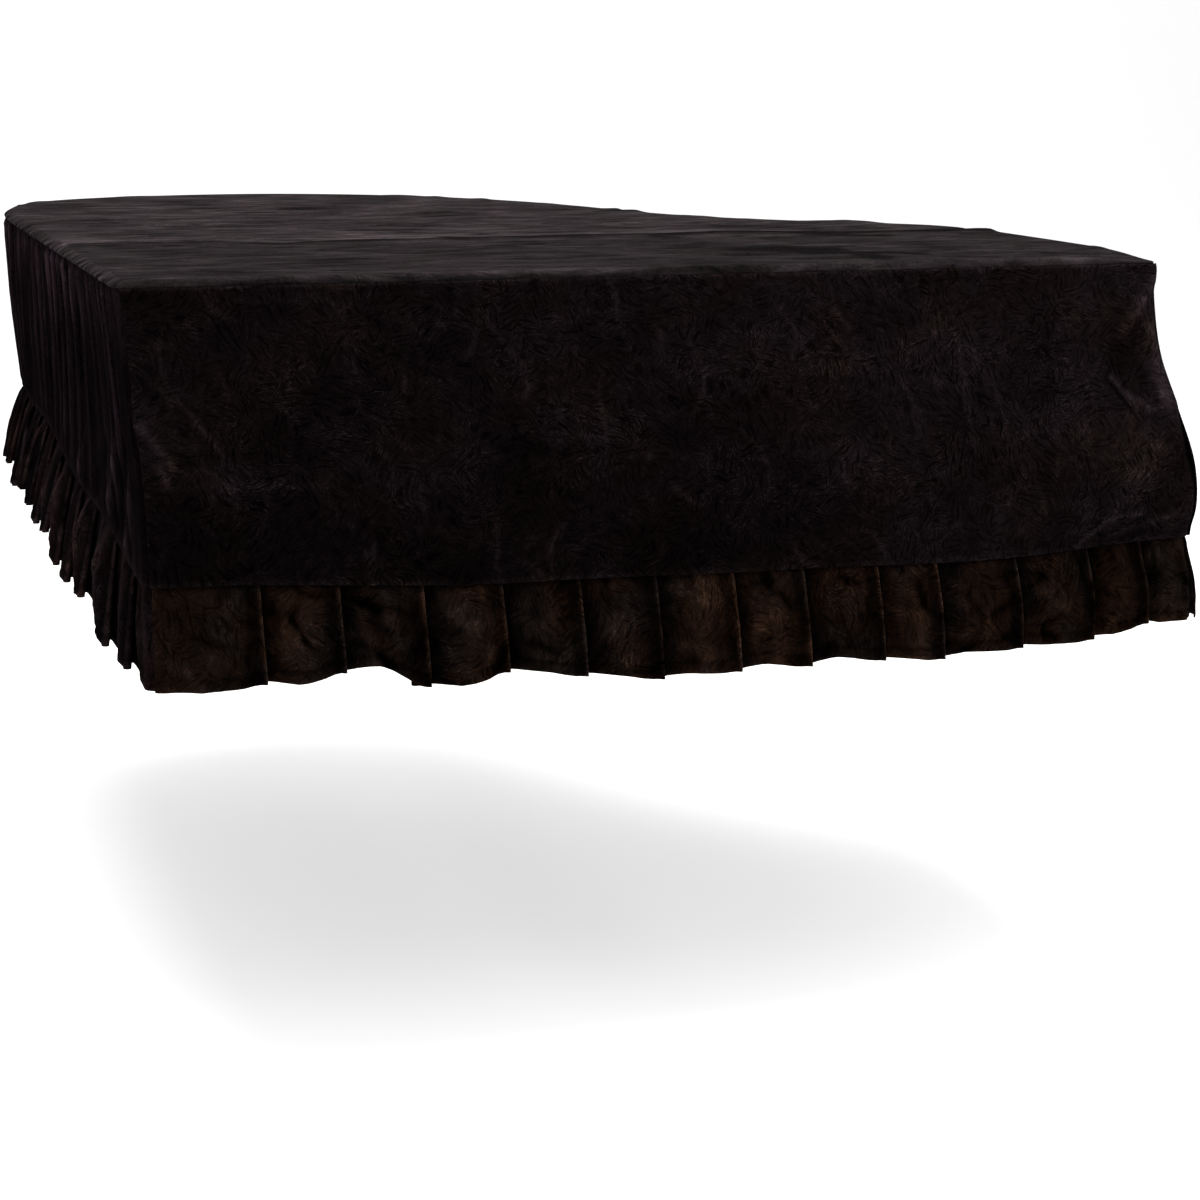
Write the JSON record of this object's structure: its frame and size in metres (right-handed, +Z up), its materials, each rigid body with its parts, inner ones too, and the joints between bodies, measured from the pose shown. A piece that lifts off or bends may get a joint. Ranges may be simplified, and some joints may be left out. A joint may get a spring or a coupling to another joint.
{
  "type": "grand piano cover",
  "caption": "Fitted cloth cover for a grand piano: lid-shaped top, deep side bands and a pleated ruffle, hollow underneath.",
  "frame": {"origin": "the underside of the top panel, on the cover's middle line and 0.62 m behind the lid's front edge, where the lid carries it", "axes": "+Z up, -Y towards the keyboard side, +Y towards the tail, -X the straight spine side"},
  "size_m": [1.5468, 1.8296, 0.5193],
  "materials": {
    "velvet_top": "crushed velvet, brushed one way",
    "velvet_band": "crushed velvet",
    "velvet_ruffle": "crushed velvet, pleated"
  },
  "bodies": {
    "root": {"top_panel": "velvet_top", "front_panel": "velvet_band", "bent_side_panel": "velvet_band", "tail_panel": "velvet_band", "spine_panel": "velvet_band", "front_ruffle": "velvet_ruffle", "bent_side_ruffle": "velvet_ruffle", "tail_ruffle": "velvet_ruffle", "spine_ruffle": "velvet_ruffle"}
  },
  "joints": []
}
